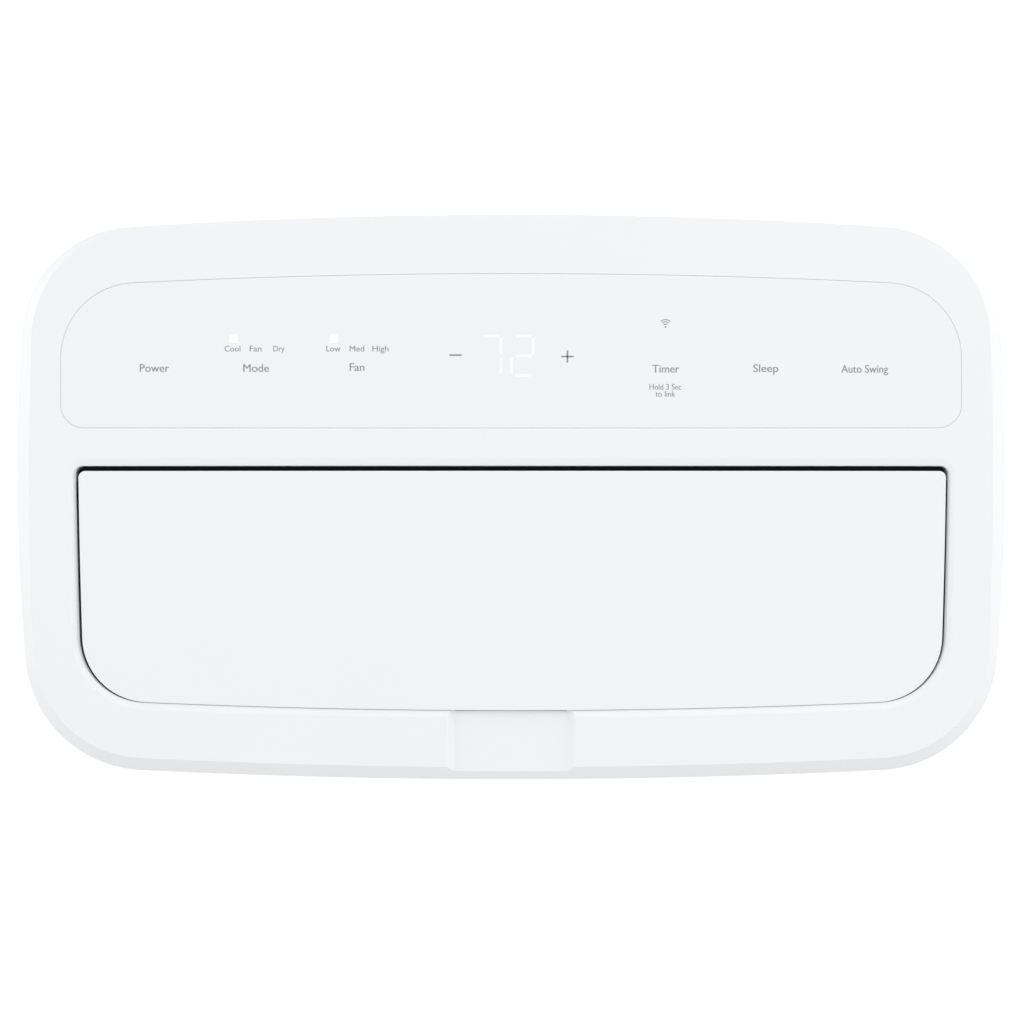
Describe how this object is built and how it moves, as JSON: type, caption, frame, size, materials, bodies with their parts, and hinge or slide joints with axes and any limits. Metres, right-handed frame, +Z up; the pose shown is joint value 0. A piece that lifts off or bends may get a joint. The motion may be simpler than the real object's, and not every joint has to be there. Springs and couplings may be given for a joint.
{
  "type": "window air conditioner",
  "caption": "Window air conditioner with a white rounded front, flush touch panel, wide swing flap over linked vanes, top intake and a louvred steel cabinet behind.",
  "frame": {"origin": "centre of the footprint, on the sill", "axes": "+X to the right as seen from the room, +Y outdoors, +Z up; the front panel faces -Y"},
  "size_m": [0.5398, 0.5, 0.31],
  "materials": {
    "white_plastic": "fine satin white moulding",
    "gloss_white_lens": "glossy white touch cover",
    "dark_plastic": "black moulding",
    "grey_plastic": "grey moulding",
    "painted_steel": "light grey powder coat",
    "galvanised_steel": "zinc-coated sheet",
    "aluminium_fins": "finned coil block",
    "copper_tube": "copper tube",
    "black_enamel": "gloss black enamel",
    "bright_steel": "bright zinc",
    "black_rubber": "black rubber",
    "green_board": "green circuit board",
    "white_foam": "rigid foam"
  },
  "bodies": {
    "chassis": {"front_panel": "white_plastic", "front_housing": "white_plastic", "filter_rail_front": "white_plastic", "filter_rail_rear": "white_plastic", "touch_lens": "gloss_white_lens", "digit_display": "dark_plastic", "outlet_frame": "dark_plastic", "drain_channel_front": "grey_plastic", "drain_channel_rear": "grey_plastic", "blower_scroll": "grey_plastic", "duct_end_left": "grey_plastic", "duct_end_right": "grey_plastic", "fan_shroud": "grey_plastic", "cabinet_cover": "painted_steel", "rear_grille": "painted_steel", "flap_motor": "galvanised_steel", "blower_motor": "galvanised_steel", "base_pan": "galvanised_steel", "top_rail": "galvanised_steel", "motor_bracket": "galvanised_steel", "control_box": "galvanised_steel", "run_capacitor": "galvanised_steel", "evaporator_front": "aluminium_fins", "evaporator_rear": "aluminium_fins", "condenser_coil": "aluminium_fins", "discharge_tube": "copper_tube", "suction_tube": "copper_tube", "accumulator_tube": "copper_tube", "filter_drier": "copper_tube", "capillary_tube": "copper_tube", "compressor": "black_enamel", "accumulator": "black_enamel", "fan_motor": "black_enamel", "grille_screw_1": "bright_steel", "grille_screw_2": "bright_steel", "grille_screw_3": "bright_steel", "grille_screw_4": "bright_steel", "cord_gland": "black_rubber", "blower_bearing": "black_rubber", "compressor_grommet_1": "black_rubber", "compressor_grommet_2": "black_rubber", "compressor_grommet_3": "black_rubber", "touch_board": "green_board", "main_board": "green_board", "bulkhead": "white_foam"},
    "flap": {"swing_flap": "white_plastic"},
    "link": {"vane_link_bar": "dark_plastic"},
    "blower": {"blower_wheel": "dark_plastic", "blower_motor_shaft": "bright_steel"},
    "condenser_fan": {"condenser_fan": "dark_plastic", "fan_shaft": "bright_steel"},
    "filter": {"air_filter": "grey_plastic"},
    "vane_1": {"vane_1": "dark_plastic"},
    "vane_2": {"vane_2": "dark_plastic"},
    "vane_3": {"vane_3": "dark_plastic"},
    "vane_4": {"vane_4": "dark_plastic"},
    "vane_5": {"vane_5": "dark_plastic"},
    "vane_6": {"vane_6": "dark_plastic"},
    "vane_7": {"vane_7": "dark_plastic"},
    "vane_8": {"vane_8": "dark_plastic"}
  },
  "joints": [
    {"name": "flap_swing", "type": "hinge", "parent": "chassis", "child": "flap", "pos_m": [0, -0.242, 0.158], "axis": [-1, 0, 0], "range_deg": [0, 65]},
    {"name": "vane_link_slide", "type": "slide", "parent": "chassis", "child": "link", "axis": [1, 0, 0], "range_m": [-0.0056, 0.0056]},
    {"name": "blower_spin", "type": "hinge", "parent": "chassis", "child": "blower", "pos_m": [0, -0.16, 0.112], "axis": [1, 0, 0], "continuous": true},
    {"name": "condenser_fan_spin", "type": "hinge", "parent": "chassis", "child": "condenser_fan", "pos_m": [-0.065, 0.16, 0.142], "axis": [0, 1, 0], "continuous": true},
    {"name": "filter_slide", "type": "slide", "parent": "chassis", "child": "filter", "axis": [1, 0, 0], "range_m": [0, 0.4]},
    {"name": "vane_1_swing", "type": "hinge", "parent": "chassis", "child": "vane_1", "pos_m": [-0.182, -0.22, 0.1], "axis": [0, 0, 1], "range_deg": [-35, 35]},
    {"name": "vane_2_swing", "type": "hinge", "parent": "chassis", "child": "vane_2", "pos_m": [-0.13, -0.22, 0.1], "axis": [0, 0, 1], "range_deg": [-35, 35]},
    {"name": "vane_3_swing", "type": "hinge", "parent": "chassis", "child": "vane_3", "pos_m": [-0.078, -0.22, 0.1], "axis": [0, 0, 1], "range_deg": [-35, 35]},
    {"name": "vane_4_swing", "type": "hinge", "parent": "chassis", "child": "vane_4", "pos_m": [-0.026, -0.22, 0.1], "axis": [0, 0, 1], "range_deg": [-35, 35]},
    {"name": "vane_5_swing", "type": "hinge", "parent": "chassis", "child": "vane_5", "pos_m": [0.026, -0.22, 0.1], "axis": [0, 0, 1], "range_deg": [-35, 35]},
    {"name": "vane_6_swing", "type": "hinge", "parent": "chassis", "child": "vane_6", "pos_m": [0.078, -0.22, 0.1], "axis": [0, 0, 1], "range_deg": [-35, 35]},
    {"name": "vane_7_swing", "type": "hinge", "parent": "chassis", "child": "vane_7", "pos_m": [0.13, -0.22, 0.1], "axis": [0, 0, 1], "range_deg": [-35, 35]},
    {"name": "vane_8_swing", "type": "hinge", "parent": "chassis", "child": "vane_8", "pos_m": [0.182, -0.22, 0.1], "axis": [0, 0, 1], "range_deg": [-35, 35]}
  ],
  "couplings": [
    {"joint": "vane_2_swing", "follows": "vane_1_swing", "ratio": 1},
    {"joint": "vane_3_swing", "follows": "vane_1_swing", "ratio": 1},
    {"joint": "vane_4_swing", "follows": "vane_1_swing", "ratio": 1},
    {"joint": "vane_5_swing", "follows": "vane_1_swing", "ratio": 1},
    {"joint": "vane_6_swing", "follows": "vane_1_swing", "ratio": 1},
    {"joint": "vane_7_swing", "follows": "vane_1_swing", "ratio": 1},
    {"joint": "vane_8_swing", "follows": "vane_1_swing", "ratio": 1},
    {"joint": "vane_link_slide", "follows": "vane_1_swing", "m_per_rad": -0.009}
  ]
}
